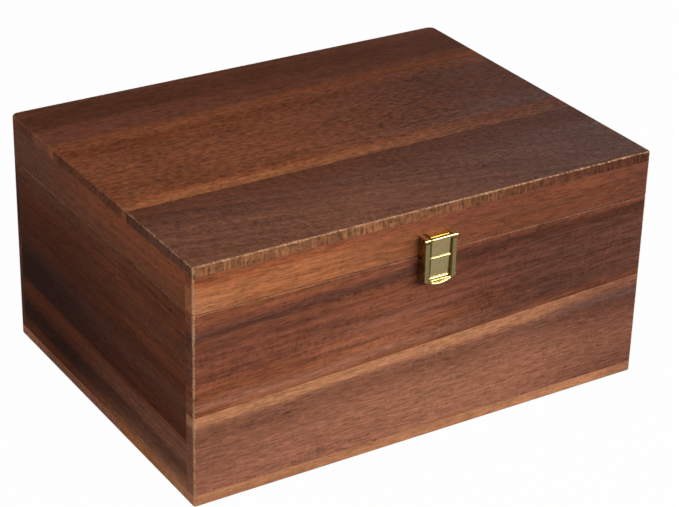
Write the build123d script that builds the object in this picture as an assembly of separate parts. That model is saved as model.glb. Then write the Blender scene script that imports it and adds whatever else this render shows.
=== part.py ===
from build123d import *

import os

# Size of the closed wooden box, without its metalwork
BOX_LENGTH = 317.5
BOX_DEPTH = 238.8
BOX_HEIGHT = 154.9

# Thickness of the boards
WALL = 8.5
TOP_THICKNESS = 6.6
BOTTOM_THICKNESS = 7.2

# Depth of the lid from its top to the seam, and the fine gap that shows there
LID_HEIGHT = 30.0
SEAM_GAP = 0.3

# Rounding of the wood's arrises
FRONT_CORNER_RADIUS = 1.6
REAR_CORNER_RADIUS = 5.0
TOP_EDGE_RADIUS = 1.25
BOTTOM_EDGE_RADIUS = 1.2
SEAM_EDGE_RADIUS = 0.7

# Heights of the glued joints in the walls, at the two ends of each wall
FRONT_JOINT_LEFT = 59.2
FRONT_JOINT_RIGHT = 70.7
BACK_JOINT_LEFT = 66.0
BACK_JOINT_RIGHT = 61.5
LEFT_JOINT_FRONT = 40.4
LEFT_JOINT_REAR = 45.5
RIGHT_JOINT_FRONT = 67.0
RIGHT_JOINT_REAR = 72.5

# Widths of the outer boards in the top panel, at its two ends
TOP_FRONT_BOARD_LEFT = 78.6
TOP_FRONT_BOARD_RIGHT = 78.9
TOP_REAR_BOARD_LEFT = 63.9
TOP_REAR_BOARD_RIGHT = 57.4

# Widths of the outer boards in the bottom panel
BOTTOM_FRONT_BOARD = 94.8
BOTTOM_REAR_BOARD = 41.6

# Two butt hinges let into the seam at the back, with the barrel outside the wood
HINGE_FROM_END = 63.75
HINGE_LENGTH = 32.0
HINGE_LEAF_WIDTH = 7.2
HINGE_LEAF_THICKNESS = 1.2
HINGE_MORTISE_CLEARANCE = 0.1
HINGE_BARREL_RADIUS = 2.2
HINGE_BARREL_CLEARANCE = 0.3
HINGE_END_KNUCKLE = 10.0
HINGE_KNUCKLE_GAP = 0.2
HINGE_PIN_RADIUS = 1.2
HINGE_PIN_HEAD_RADIUS = 1.7
HINGE_PIN_HEAD_LENGTH = 0.8

# The heels behind the barrel, which meet when the lid has swung this far
LID_STOP_ANGLE = 95.5
HEEL_REACH = 5.4
HEEL_THICKNESS = 1.2

# Fits of all the pins: held in one leaf or plate, turning in the other
PIN_HELD_CLEARANCE = 0.01
PIN_TURNING_CLEARANCE = 0.06

# Countersunk brass screws of the hinges
SCREW_SPACING = 19.0
SCREW_INSET = 3.7
SCREW_HEAD_RADIUS = 1.9
SCREW_HEAD_HEIGHT = 0.9
SCREW_HEAD_RECESS = 0.05
SCREW_SHANK_RADIUS = 1.0
SCREW_LENGTH = 9.0
SCREW_TIP = 1.8
SCREW_SLOT_WIDTH = 0.5
SCREW_SLOT_DEPTH = 0.45
SCREW_CLEARANCE = 0.04

# The brass latch in the middle of the front, measured from the seam and outward from the wood
LATCH_WIDTH = 22.0
LATCH_ABOVE_SEAM = 13.4
LATCH_BELOW_SEAM = 13.6
LATCH_SHEET = 0.8
LATCH_CHEEK_DEPTH = 4.2
LATCH_SEAM_SETBACK = 0.4
LATCH_CLEARANCE = 0.3
LATCH_PIN_OUT = 6.8
LATCH_PIN_RADIUS = 0.65
LATCH_PIN_HEAD_RADIUS = 1.0
LATCH_PIN_HEAD_LENGTH = 0.35
LATCH_BARREL_RADIUS = 1.2
LATCH_KNUCKLE_GAP = 0.2
CATCH_BAR_ABOVE_BOTTOM = 3.6
CATCH_BAR_RADIUS = 0.7

# The flap of the latch
FLAP_RAIL_WIDTH = 3.4
FLAP_RAIL_ROUNDING = 0.65
FLAP_RECESS_AT_TOP = 1.3
FLAP_RECESS_AT_BOTTOM = 2.1
FLAP_SIDES_ABOVE_BOTTOM = 0.4
FLAP_LEDGE_BELOW_SIDES = 0.5
FLAP_LEDGE_BEND = 1.2
FLAP_TIP_BELOW_SIDES = 3.5
FLAP_LIP_SETBACK = 1.0
FLAP_RIM_RADIUS = 0.65
FLAP_RIB_ABOVE_LEDGE = 13.7
FLAP_RIB_RADIUS = 0.65

# Rounding where the brass sheet is bent
LATCH_BEND_RADIUS = 0.45

# Nails through the latch plates
NAIL_SPACING = 12.0
NAIL_FROM_SEAM = 6.6
NAIL_SHANK_RADIUS = 0.6
NAIL_LENGTH = 6.5
NAIL_TIP = 1.2
NAIL_HEAD_RADIUS = 1.5
NAIL_HEAD_HEIGHT = 0.7
NAIL_CLEARANCE = 0.02

# Planes that several pieces share
LEFT_X = -BOX_LENGTH / 2
RIGHT_X = BOX_LENGTH / 2
FRONT_Y = -BOX_DEPTH / 2
REAR_Y = BOX_DEPTH / 2
SEAM_HEIGHT = BOX_HEIGHT - LID_HEIGHT
BASE_RIM = SEAM_HEIGHT - SEAM_GAP / 2
LID_RIM = SEAM_HEIGHT + SEAM_GAP / 2
RAIL_TOP = BOX_HEIGHT - TOP_THICKNESS
HINGE_AXIS_Y = REAR_Y + HINGE_BARREL_CLEARANCE + HINGE_BARREL_RADIUS
HINGE_X = BOX_LENGTH / 2 - HINGE_FROM_END
LATCH_HALF = LATCH_WIDTH / 2
LATCH_TOP = SEAM_HEIGHT + LATCH_ABOVE_SEAM
LATCH_BOTTOM = SEAM_HEIGHT - LATCH_BELOW_SEAM
LATCH_PIN_HEIGHT = LATCH_TOP - LATCH_BARREL_RADIUS
FLAP_FRONT = LATCH_PIN_OUT + LATCH_BARREL_RADIUS
FLAP_SIDE_BOTTOM = LATCH_BOTTOM + FLAP_SIDES_ABOVE_BOTTOM
FLAP_LEDGE_HEIGHT = FLAP_SIDE_BOTTOM - FLAP_LEDGE_BELOW_SIDES
FLAP_TIP_HEIGHT = FLAP_SIDE_BOTTOM - FLAP_TIP_BELOW_SIDES

# Longer than any piece, for cutters that pass right through
BEYOND = 2 * BOX_LENGTH


def block(x_range, y_range, z_range):
    """A box between two corners."""
    (x0, x1), (y0, y1), (z0, z1) = x_range, y_range, z_range
    return Pos((x0 + x1) / 2, (y0 + y1) / 2, (z0 + z1) / 2) * Box(x1 - x0, y1 - y0, z1 - z0)


def rod(radius, x_range):
    """A round bar along X, on the line y = 0, z = 0."""
    x0, x1 = x_range
    return Pos((x0 + x1) / 2, 0, 0) * Rot(0, 90, 0) * Cylinder(radius, x1 - x0)


def rounded_case(bottom, top, lower_radius, upper_radius):
    """The outer form of the lid or the base, before it is cut into boards."""
    case = block((LEFT_X, RIGHT_X), (FRONT_Y, REAR_Y), (bottom, top))
    uprights = case.edges().filter_by(Axis.Z).sort_by(Axis.Y)
    case = fillet(uprights[:2], FRONT_CORNER_RADIUS)
    uprights = case.edges().filter_by(Axis.Z).filter_by_position(Axis.Y, REAR_Y - 0.01, REAR_Y + 0.01)
    case = fillet(uprights, REAR_CORNER_RADIUS)
    case = fillet(case.faces().sort_by(Axis.Z)[0].edges(), lower_radius)
    return fillet(case.faces().sort_by(Axis.Z)[-1].edges(), upper_radius)


def below_slope_along_length(height_left, height_right):
    """All the space under a plane that climbs from the left end to the right end."""
    outline = Polyline(
        (LEFT_X, -1),
        (RIGHT_X, -1),
        (RIGHT_X, height_right),
        (LEFT_X, height_left),
        close=True,
    )
    return extrude(Plane.XZ * make_face(outline), BEYOND, both=True)


def below_slope_along_depth(height_front, height_rear):
    """All the space under a plane that climbs from the front to the rear."""
    outline = Polyline(
        (FRONT_Y, -1),
        (REAR_Y, -1),
        (REAR_Y, height_rear),
        (FRONT_Y, height_front),
        close=True,
    )
    return extrude(Plane.YZ * make_face(outline), BEYOND, both=True)


def ahead_of_line(y_left, y_right):
    """All the space in front of an upright plane across the box."""
    outline = Polyline(
        (LEFT_X, FRONT_Y - 1),
        (RIGHT_X, FRONT_Y - 1),
        (RIGHT_X, y_right),
        (LEFT_X, y_left),
        close=True,
    )
    return extrude(Plane.XY * make_face(outline), BEYOND, both=True)


def wall_spaces(bottom, top):
    """The four walls of a frame: front and back run full length, the sides stand between them."""
    heights = (bottom, top)
    full = (LEFT_X, RIGHT_X)
    between = (FRONT_Y + WALL, REAR_Y - WALL)
    return {
        "front": block(full, (FRONT_Y, FRONT_Y + WALL), heights),
        "back": block(full, (REAR_Y - WALL, REAR_Y), heights),
        "left": block((LEFT_X, LEFT_X + WALL), between, heights),
        "right": block((RIGHT_X - WALL, RIGHT_X), between, heights),
    }


def base_boards():
    """The bottom panel of three boards and the four walls of two boards each."""
    case = rounded_case(0, BASE_RIM, BOTTOM_EDGE_RADIUS, SEAM_EDGE_RADIUS)
    lower_part = {
        "front": below_slope_along_length(FRONT_JOINT_LEFT, FRONT_JOINT_RIGHT),
        "back": below_slope_along_length(BACK_JOINT_LEFT, BACK_JOINT_RIGHT),
        "left": below_slope_along_depth(LEFT_JOINT_FRONT, LEFT_JOINT_REAR),
        "right": below_slope_along_depth(RIGHT_JOINT_FRONT, RIGHT_JOINT_REAR),
    }
    boards = {}
    for side, space in wall_spaces(BOTTOM_THICKNESS, BASE_RIM).items():
        wall = case & space
        boards[f"base_{side}_lower_board"] = wall & lower_part[side]
        boards[f"base_{side}_upper_board"] = wall - lower_part[side]
    front_joint = FRONT_Y + BOTTOM_FRONT_BOARD
    rear_joint = REAR_Y - BOTTOM_REAR_BOARD
    panel = case & block((LEFT_X, RIGHT_X), (FRONT_Y, REAR_Y), (0, BOTTOM_THICKNESS))
    boards["bottom_front_board"] = panel & ahead_of_line(front_joint, front_joint)
    boards["bottom_rear_board"] = panel - ahead_of_line(rear_joint, rear_joint)
    middle = panel - ahead_of_line(front_joint, front_joint)
    boards["bottom_middle_board"] = middle & ahead_of_line(rear_joint, rear_joint)
    return boards


def lid_boards():
    """The top panel of three boards on a frame of four rails."""
    case = rounded_case(LID_RIM, BOX_HEIGHT, SEAM_EDGE_RADIUS, TOP_EDGE_RADIUS)
    boards = {}
    for side, space in wall_spaces(LID_RIM, RAIL_TOP).items():
        boards[f"lid_{side}_rail"] = case & space
    front_part = ahead_of_line(FRONT_Y + TOP_FRONT_BOARD_LEFT, FRONT_Y + TOP_FRONT_BOARD_RIGHT)
    all_but_rear = ahead_of_line(REAR_Y - TOP_REAR_BOARD_LEFT, REAR_Y - TOP_REAR_BOARD_RIGHT)
    panel = case & block((LEFT_X, RIGHT_X), (FRONT_Y, REAR_Y), (RAIL_TOP, BOX_HEIGHT))
    boards["lid_top_front_board"] = panel & front_part
    boards["lid_top_rear_board"] = panel - all_but_rear
    boards["lid_top_middle_board"] = (panel - front_part) & all_but_rear
    return boards


# Hinges. They are drawn with the pin's axis on X, the base's leaf below and the wood at -Y.
HINGE_HALF = HINGE_LENGTH / 2
WOOD_BEHIND_AXIS = HINGE_BARREL_RADIUS + HINGE_BARREL_CLEARANCE
SCREW_Y = -WOOD_BEHIND_AXIS - SCREW_INSET
SCREW_XS = (-SCREW_SPACING / 2, SCREW_SPACING / 2)
END_KNUCKLES = (
    (-HINGE_HALF, -HINGE_HALF + HINGE_END_KNUCKLE),
    (HINGE_HALF - HINGE_END_KNUCKLE, HINGE_HALF),
)
MIDDLE_KNUCKLE_HALF = HINGE_HALF - HINGE_END_KNUCKLE - HINGE_KNUCKLE_GAP
MIDDLE_KNUCKLE = ((-MIDDLE_KNUCKLE_HALF, MIDDLE_KNUCKLE_HALF),)


def screw_body(extra):
    """A countersunk screw pointing down from the leaf's face, or its hole with extra room."""
    face = -SEAM_GAP / 2 - SCREW_HEAD_RECESS
    shank_top = face - SCREW_HEAD_HEIGHT
    tip_top = face - SCREW_LENGTH + SCREW_TIP
    head = Pos(0, 0, face - SCREW_HEAD_HEIGHT / 2) * Cone(
        SCREW_SHANK_RADIUS + extra, SCREW_HEAD_RADIUS + extra, SCREW_HEAD_HEIGHT
    )
    shank = Pos(0, 0, (shank_top + tip_top) / 2) * Cylinder(
        SCREW_SHANK_RADIUS + extra, shank_top - tip_top
    )
    tip = Pos(0, 0, tip_top - SCREW_TIP / 2) * Cone(
        SCREW_SHANK_RADIUS / 4 + extra, SCREW_SHANK_RADIUS + extra, SCREW_TIP
    )
    return head + shank + tip


def screw_holes():
    """Room for both screws of a leaf, open above the heads."""
    hole = screw_body(SCREW_CLEARANCE)
    opening = Pos(0, 0, -SEAM_GAP / 2) * Cylinder(SCREW_HEAD_RADIUS + SCREW_CLEARANCE, 2 * SCREW_HEAD_RECESS)
    return [Pos(x, SCREW_Y, 0) * (hole + opening) for x in SCREW_XS]


def leaf_screws():
    """The two slotted screws of a leaf."""
    slot_centre = -SEAM_GAP / 2 - SCREW_HEAD_RECESS - SCREW_SLOT_DEPTH / 2
    slot = Pos(0, 0, slot_centre) * Box(2 * SCREW_HEAD_RADIUS, SCREW_SLOT_WIDTH, SCREW_SLOT_DEPTH)
    screw = screw_body(0) - slot
    return Compound([(Pos(x, SCREW_Y, 0) * screw).solid() for x in SCREW_XS])


def hinge_leaf(own_knuckles, pin_clearance):
    """One leaf with its knuckles and its heel, before it is mirrored for the lid."""
    plate_heights = (-SEAM_GAP / 2 - HINGE_LEAF_THICKNESS, -SEAM_GAP / 2)
    wood_edge = -WOOD_BEHIND_AXIS
    leaf = block((-HINGE_HALF, HINGE_HALF), (wood_edge - HINGE_LEAF_WIDTH, wood_edge), plate_heights)
    heel_angle = -LID_STOP_ANGLE / 2
    heel_start = HINGE_BARREL_RADIUS + HINGE_BARREL_CLEARANCE
    heel = block((-HINGE_HALF, HINGE_HALF), (heel_start, HEEL_REACH), (-HEEL_THICKNESS, 0))
    leaf += Rot(heel_angle, 0, 0) * heel
    for x_range in own_knuckles:
        leaf += rod(HINGE_BARREL_RADIUS, x_range)
        leaf += block(x_range, (wood_edge, 0), plate_heights)
        leaf += Rot(heel_angle, 0, 0) * block(x_range, (0, heel_start), (-HEEL_THICKNESS, 0))
    leaf -= rod(HINGE_PIN_RADIUS + pin_clearance, (-HINGE_LENGTH, HINGE_LENGTH))
    for hole in screw_holes():
        leaf -= hole
    return leaf


def hinge_pin():
    """The hinge pin with its two flat heads."""
    pin = rod(HINGE_PIN_RADIUS, (-HINGE_HALF, HINGE_HALF))
    pin += rod(HINGE_PIN_HEAD_RADIUS, (-HINGE_HALF - HINGE_PIN_HEAD_LENGTH, -HINGE_HALF))
    pin += rod(HINGE_PIN_HEAD_RADIUS, (HINGE_HALF, HINGE_HALF + HINGE_PIN_HEAD_LENGTH))
    return pin


def hinge_seat():
    """What a leaf and its screws take out of the wood, drawn as for the base."""
    half = HINGE_HALF + HINGE_MORTISE_CLEARANCE
    front = -WOOD_BEHIND_AXIS - HINGE_LEAF_WIDTH - HINGE_MORTISE_CLEARANCE
    floor = -SEAM_GAP / 2 - HINGE_LEAF_THICKNESS
    seat = block((-half, half), (front, 0), (floor, 0))
    for hole in screw_holes():
        seat += hole
    return seat


def over_seam(piece):
    """The same piece turned upside down, for the lid's side of the seam."""
    return mirror(piece, about=Plane.XY)


def fit_hinges(boards):
    """The pieces of both hinges; their seats are cut from the boards behind them."""
    leaf_for_base = hinge_leaf(END_KNUCKLES, PIN_HELD_CLEARANCE)
    leaf_for_lid = over_seam(hinge_leaf(MIDDLE_KNUCKLE, PIN_TURNING_CLEARANCE))
    pin = hinge_pin()
    screws_for_base = leaf_screws()
    screws_for_lid = over_seam(screws_for_base)
    seat_for_base = hinge_seat()
    seat_for_lid = over_seam(seat_for_base)
    pieces = {}
    for side, x in (("left", -HINGE_X), ("right", HINGE_X)):
        place = Pos(x, HINGE_AXIS_Y, SEAM_HEIGHT)
        boards["base_back_upper_board"] -= place * seat_for_base
        boards["lid_back_rail"] -= place * seat_for_lid
        pieces[f"{side}_hinge_base_leaf"] = place * leaf_for_base
        pieces[f"{side}_hinge_lid_leaf"] = place * leaf_for_lid
        pieces[f"{side}_hinge_pin"] = place * pin
        pieces[f"{side}_hinge_base_screws"] = place * screws_for_base
        pieces[f"{side}_hinge_lid_screws"] = place * screws_for_lid
    return pieces


def on_front(x_range, out_range, z_range):
    """A box on the front of the wood, between two distances outward from it."""
    near, far = out_range
    return block(x_range, (FRONT_Y - far, FRONT_Y - near), z_range)


def side_profile(points, x_range):
    """A shape drawn from the side as (distance outward, height), carried along X."""
    outline = Polyline(*[(FRONT_Y - out, z) for out, z in points], close=True)
    x0, x1 = x_range
    return Pos(x0, 0, 0) * extrude(Plane.YZ * make_face(outline), x1 - x0)


def both_sides(inner, outer):
    """The X ranges of a pair of features left and right of the middle."""
    return ((-outer, -inner), (inner, outer))


def at_latch_pin(piece):
    """Moves a piece drawn on the X axis to the latch's pin."""
    return Pos(0, FRONT_Y - LATCH_PIN_OUT, LATCH_PIN_HEIGHT) * piece


KNUCKLE_SPLIT = LATCH_HALF - FLAP_RAIL_WIDTH
FLAP_RAIL_TOP = LATCH_PIN_HEIGHT - LATCH_BARREL_RADIUS - LATCH_CLEARANCE
FLAP_BACK = LATCH_CHEEK_DEPTH + LATCH_CLEARANCE
LID_PLATE_BOTTOM = LID_RIM + LATCH_SEAM_SETBACK
CATCH_TOP = BASE_RIM - LATCH_SEAM_SETBACK
NAIL_XS = (-NAIL_SPACING / 2, NAIL_SPACING / 2)
LID_NAIL_HEIGHT = SEAM_HEIGHT + NAIL_FROM_SEAM
CATCH_NAIL_HEIGHT = SEAM_HEIGHT - NAIL_FROM_SEAM


def nail_row(height, extra):
    """Two nails through a latch plate into the wood, or their holes with extra room."""
    shank_length = NAIL_LENGTH - NAIL_TIP
    nails = []
    for x in NAIL_XS:
        shank = Pos(0, 0, (LATCH_SHEET - shank_length) / 2) * Cylinder(
            NAIL_SHANK_RADIUS + extra, LATCH_SHEET + shank_length
        )
        tip = Pos(0, 0, -shank_length - NAIL_TIP / 2) * Cone(
            NAIL_SHANK_RADIUS / 4 + extra, NAIL_SHANK_RADIUS + extra, NAIL_TIP
        )
        nail = shank + tip
        if not extra:
            head = Pos(0, 0, LATCH_SHEET + NAIL_HEAD_HEIGHT / 2) * Cylinder(
                NAIL_HEAD_RADIUS, NAIL_HEAD_HEIGHT
            )
            head = fillet(head.faces().sort_by(Axis.Z)[-1].edges(), 0.7 * NAIL_HEAD_HEIGHT)
            nail += head
        nails.append((Pos(x, FRONT_Y, height) * Rot(90, 0, 0) * nail).solid())
    return Compound(nails)


def bend_edges(plate, height):
    """The two outer edges where a plate's cheeks turn into its top or bottom."""
    level = plate.edges().filter_by(Axis.Y).filter_by_position(Axis.Z, height - 0.01, height + 0.01)
    return [edge for edge in level if abs(abs(edge.center().X) - LATCH_HALF) < 0.01]


def latch_lid_plate():
    """The plate on the lid: back, cheeks, top and the two knuckles that hold the pin."""
    heights = (LID_PLATE_BOTTOM, LATCH_TOP)
    top_heights = (LATCH_TOP - LATCH_SHEET, LATCH_TOP)
    flap_room = LATCH_PIN_OUT - LATCH_BARREL_RADIUS - LATCH_CLEARANCE
    plate = on_front((-LATCH_HALF, LATCH_HALF), (0, LATCH_SHEET), heights)
    plate += on_front((-LATCH_HALF, LATCH_HALF), (0, flap_room), top_heights)
    for x_range in both_sides(LATCH_HALF - LATCH_SHEET, LATCH_HALF):
        plate += on_front(x_range, (0, LATCH_CHEEK_DEPTH), heights)
    plate = fillet(bend_edges(plate, LATCH_TOP), LATCH_BEND_RADIUS)
    for x_range in both_sides(KNUCKLE_SPLIT + LATCH_KNUCKLE_GAP, LATCH_HALF):
        plate += on_front(x_range, (flap_room, LATCH_PIN_OUT), top_heights)
        plate += at_latch_pin(rod(LATCH_BARREL_RADIUS, x_range))
    plate -= at_latch_pin(rod(LATCH_PIN_RADIUS + PIN_HELD_CLEARANCE, (-LATCH_WIDTH, LATCH_WIDTH)))
    return plate - nail_row(LID_NAIL_HEIGHT, NAIL_CLEARANCE)


def latch_catch_plate():
    """The catch on the base: back, cheeks, bottom and the bar that the flap closes on."""
    heights = (LATCH_BOTTOM, CATCH_TOP)
    inner_half = LATCH_HALF - LATCH_SHEET
    plate = on_front((-LATCH_HALF, LATCH_HALF), (0, LATCH_SHEET), heights)
    plate += on_front(
        (-LATCH_HALF, LATCH_HALF), (0, LATCH_CHEEK_DEPTH), (LATCH_BOTTOM, LATCH_BOTTOM + LATCH_SHEET)
    )
    for x_range in both_sides(inner_half, LATCH_HALF):
        plate += on_front(x_range, (0, LATCH_CHEEK_DEPTH), heights)
    bar_out = LATCH_CHEEK_DEPTH - CATCH_BAR_RADIUS
    bar = rod(CATCH_BAR_RADIUS, (-inner_half, inner_half))
    plate += Pos(0, FRONT_Y - bar_out, LATCH_BOTTOM + CATCH_BAR_ABOVE_BOTTOM) * bar
    plate = fillet(bend_edges(plate, LATCH_BOTTOM), LATCH_BEND_RADIUS)
    return plate - nail_row(CATCH_NAIL_HEIGHT, NAIL_CLEARANCE)


def latch_pin():
    """The pin of the flap, held in the lid plate's knuckles by its two heads."""
    pin = rod(LATCH_PIN_RADIUS, (-LATCH_HALF, LATCH_HALF))
    pin += rod(LATCH_PIN_HEAD_RADIUS, (-LATCH_HALF - LATCH_PIN_HEAD_LENGTH, -LATCH_HALF))
    pin += rod(LATCH_PIN_HEAD_RADIUS, (LATCH_HALF, LATCH_HALF + LATCH_PIN_HEAD_LENGTH))
    return at_latch_pin(pin)


def flap_front():
    """The front of the flap: rails down to the rounded end, a set-back lip and its raised rim."""
    arc = ThreePointArc(
        (-LATCH_HALF, FLAP_SIDE_BOTTOM),
        (0, FLAP_TIP_HEIGHT),
        (LATCH_HALF, FLAP_SIDE_BOTTOM),
    )
    sides = Polyline(
        (LATCH_HALF, FLAP_SIDE_BOTTOM),
        (LATCH_HALF, FLAP_RAIL_TOP),
        (-LATCH_HALF, FLAP_RAIL_TOP),
        (-LATCH_HALF, FLAP_SIDE_BOTTOM),
    )
    shape = extrude(Plane.XZ * make_face([arc, sides]), LATCH_SHEET)
    middle = block((-KNUCKLE_SPLIT, KNUCKLE_SPLIT), (-BEYOND, BEYOND), (0, LATCH_TOP))
    under_ledge = block((-LATCH_HALF, LATCH_HALF), (-BEYOND, BEYOND), (0, FLAP_LEDGE_HEIGHT))
    rails = Pos(0, FRONT_Y - FLAP_FRONT + LATCH_SHEET, 0) * (shape - middle)
    front_edges = rails.edges().filter_by(Axis.Z).group_by(Axis.Y)[0]
    rails = fillet(front_edges, FLAP_RAIL_ROUNDING)
    lip_back = FLAP_FRONT - FLAP_LIP_SETBACK - LATCH_SHEET
    lip = Pos(0, FRONT_Y - lip_back, 0) * (shape & middle & under_ledge)
    path = Plane.XZ * arc
    rim = sweep(Plane(origin=path @ 0, z_dir=path % 0) * Circle(FLAP_RIM_RADIUS), path)
    rim = Pos(0, FRONT_Y - FLAP_FRONT + FLAP_RIM_RADIUS, 0) * rim
    back_of_rim = on_front((-LATCH_HALF, LATCH_HALF), (lip_back, 2 * FLAP_FRONT), (0, LATCH_TOP))
    return rails + lip + (rim & back_of_rim)


def latch_flap():
    """The flap: side flanges, two rails, a recessed panel with a rib, bent out to a ledge, and a lip."""
    heights = (FLAP_SIDE_BOTTOM, FLAP_RAIL_TOP)
    panel_half = KNUCKLE_SPLIT
    panel_range = (-panel_half, panel_half)
    front_at_top = FLAP_FRONT - FLAP_RECESS_AT_TOP
    front_at_bottom = FLAP_FRONT - FLAP_RECESS_AT_BOTTOM
    panel_top = LATCH_PIN_HEIGHT - LATCH_PIN_RADIUS
    ledge_bottom = FLAP_LEDGE_HEIGHT - LATCH_SHEET
    ledge_nose = FLAP_FRONT - LATCH_SHEET / 2
    panel_profile = (
        (front_at_top, panel_top),
        (front_at_bottom, FLAP_LEDGE_HEIGHT),
        (ledge_nose, FLAP_LEDGE_HEIGHT),
        (ledge_nose, ledge_bottom),
        (front_at_bottom - LATCH_SHEET, ledge_bottom),
        (front_at_top - LATCH_SHEET, panel_top),
    )
    panel = side_profile(panel_profile, panel_range)
    for out, height, radius in (
        (front_at_bottom, FLAP_LEDGE_HEIGHT, FLAP_LEDGE_BEND),
        (front_at_bottom - LATCH_SHEET, ledge_bottom, FLAP_LEDGE_BEND + LATCH_SHEET),
    ):
        bend = panel.edges().sort_by_distance((0, FRONT_Y - out, height))[:1]
        panel = fillet(bend, radius)
    rail_back = FLAP_FRONT - LATCH_SHEET
    recess_wall_profile = (
        (front_at_bottom - LATCH_SHEET, ledge_bottom),
        (rail_back, ledge_bottom),
        (rail_back, FLAP_RAIL_TOP),
        (front_at_top - LATCH_SHEET, FLAP_RAIL_TOP),
    )
    flap = flap_front() + panel
    for x_range in both_sides(LATCH_HALF - LATCH_SHEET, LATCH_HALF):
        flap += on_front(x_range, (FLAP_BACK, rail_back), heights)
    for x_range in both_sides(panel_half, panel_half + LATCH_SHEET):
        flap += side_profile(recess_wall_profile, x_range)
    flap += Pos(0, FRONT_Y - ledge_nose, ledge_bottom + LATCH_SHEET / 2) * rod(LATCH_SHEET / 2, panel_range)
    slope = (front_at_top - front_at_bottom) / (panel_top - FLAP_LEDGE_HEIGHT)
    rib_height = FLAP_LEDGE_HEIGHT + FLAP_RIB_ABOVE_LEDGE
    rib_out = front_at_bottom + slope * FLAP_RIB_ABOVE_LEDGE
    flap += Pos(0, FRONT_Y - rib_out, rib_height) * rod(FLAP_RIB_RADIUS, panel_range)
    flap += at_latch_pin(rod(LATCH_BARREL_RADIUS, (-KNUCKLE_SPLIT, KNUCKLE_SPLIT)))
    return flap - at_latch_pin(rod(LATCH_PIN_RADIUS + PIN_TURNING_CLEARANCE, (-LATCH_WIDTH, LATCH_WIDTH)))


def fit_latch(boards):
    """The pieces of the latch; their nail holes are cut from the boards behind them."""
    boards["lid_front_rail"] -= nail_row(LID_NAIL_HEIGHT, NAIL_CLEARANCE)
    boards["base_front_upper_board"] -= nail_row(CATCH_NAIL_HEIGHT, NAIL_CLEARANCE)
    return {
        "latch_lid_plate": latch_lid_plate(),
        "latch_lid_nails": nail_row(LID_NAIL_HEIGHT, 0),
        "latch_catch_plate": latch_catch_plate(),
        "latch_catch_nails": nail_row(CATCH_NAIL_HEIGHT, 0),
        "latch_pin": latch_pin(),
        "latch_flap": latch_flap(),
    }


nodes = {**base_boards(), **lid_boards()}
nodes.update(fit_hinges(nodes))
nodes.update(fit_latch(nodes))

os.makedirs("parts", exist_ok=True)
for name, piece in nodes.items():
    export_step(piece, f"parts/{name}.step")
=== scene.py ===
import bpy
from mathutils import Matrix, Vector


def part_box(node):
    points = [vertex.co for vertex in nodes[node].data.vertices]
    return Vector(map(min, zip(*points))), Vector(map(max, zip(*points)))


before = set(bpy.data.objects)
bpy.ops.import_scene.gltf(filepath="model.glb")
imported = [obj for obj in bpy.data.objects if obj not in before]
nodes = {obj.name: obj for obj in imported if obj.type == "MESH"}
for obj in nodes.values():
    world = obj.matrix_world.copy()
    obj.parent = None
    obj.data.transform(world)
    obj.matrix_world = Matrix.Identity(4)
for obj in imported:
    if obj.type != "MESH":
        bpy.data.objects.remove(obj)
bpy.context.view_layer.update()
scene = bpy.context.scene


# The viewing angle: a long lens from the front left, a little above the box, so that its front,
# its left end and its top all show.
CAMERA_PLACE = (-0.64011, -1.02032, 0.68825)
CAMERA_FORWARD = (0.47895, 0.74999, -0.45621)
CAMERA_RIGHT = (0.84912, -0.52766, 0.02400)
LENS_MM = 113.049
SENSOR_MM = 36.0

camera_data = bpy.data.cameras.new("camera")
camera_data.lens = LENS_MM
camera_data.sensor_width = SENSOR_MM
camera_data.sensor_fit = "HORIZONTAL"
camera = bpy.data.objects.new("camera", camera_data)
scene.collection.objects.link(camera)
look = Vector(CAMERA_FORWARD).normalized()
rightward = Vector(CAMERA_RIGHT)
rightward = (rightward - rightward.dot(look) * look).normalized()
turn = Matrix((rightward, rightward.cross(look), -look)).transposed().to_4x4()
camera.matrix_world = Matrix.Translation(CAMERA_PLACE) @ turn
scene.camera = camera
scene.view_settings.view_transform = "Standard"


# The studio: a pale sweep as the floor, one broad soft light in front at the right, weaker ones
# above, at the left and at the right rear, a low one behind the box, and an even white surround.
FLOOR_SIZE = 12.0
FLOOR_ALBEDO = 0.30
FLOOR_ROUGHNESS = 0.9
FLOOR_LIFT = 0.985
SURROUND_STRENGTH = 0.12
LIGHT_AIM = (0.0, 0.0, 0.06)


def add_soft_light(name, place, size, power):
    """A rectangular studio light that points at the box."""
    light = bpy.data.lights.new(name, "AREA")
    light.shape = "RECTANGLE"
    light.size, light.size_y = size
    light.energy = power
    holder = bpy.data.objects.new(name, light)
    holder.location = place
    holder.rotation_euler = (Vector(LIGHT_AIM) - Vector(place)).to_track_quat("-Z", "Y").to_euler()
    scene.collection.objects.link(holder)


add_soft_light("front_softbox", place=(0.95, -2.40, 1.30), size=(3.0, 1.2), power=97)
add_soft_light("overhead_softbox", place=(0.10, -0.70, 2.10), size=(1.5, 1.5), power=5)
add_soft_light("left_softbox", place=(-2.40, -0.30, 1.10), size=(1.4, 1.2), power=21)
add_soft_light("rear_softbox", place=(2.60, 2.00, 0.45), size=(1.6, 0.7), power=6)
add_soft_light("back_softbox", place=(0.75, 2.60, 0.08), size=(1.6, 0.12), power=16)

surround = bpy.data.worlds.new("surround")
surround.use_nodes = True
surround_light = surround.node_tree.nodes["Background"]
surround_light.inputs["Color"].default_value = (1, 1, 1, 1)
surround_light.inputs["Strength"].default_value = SURROUND_STRENGTH
scene.world = surround

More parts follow.
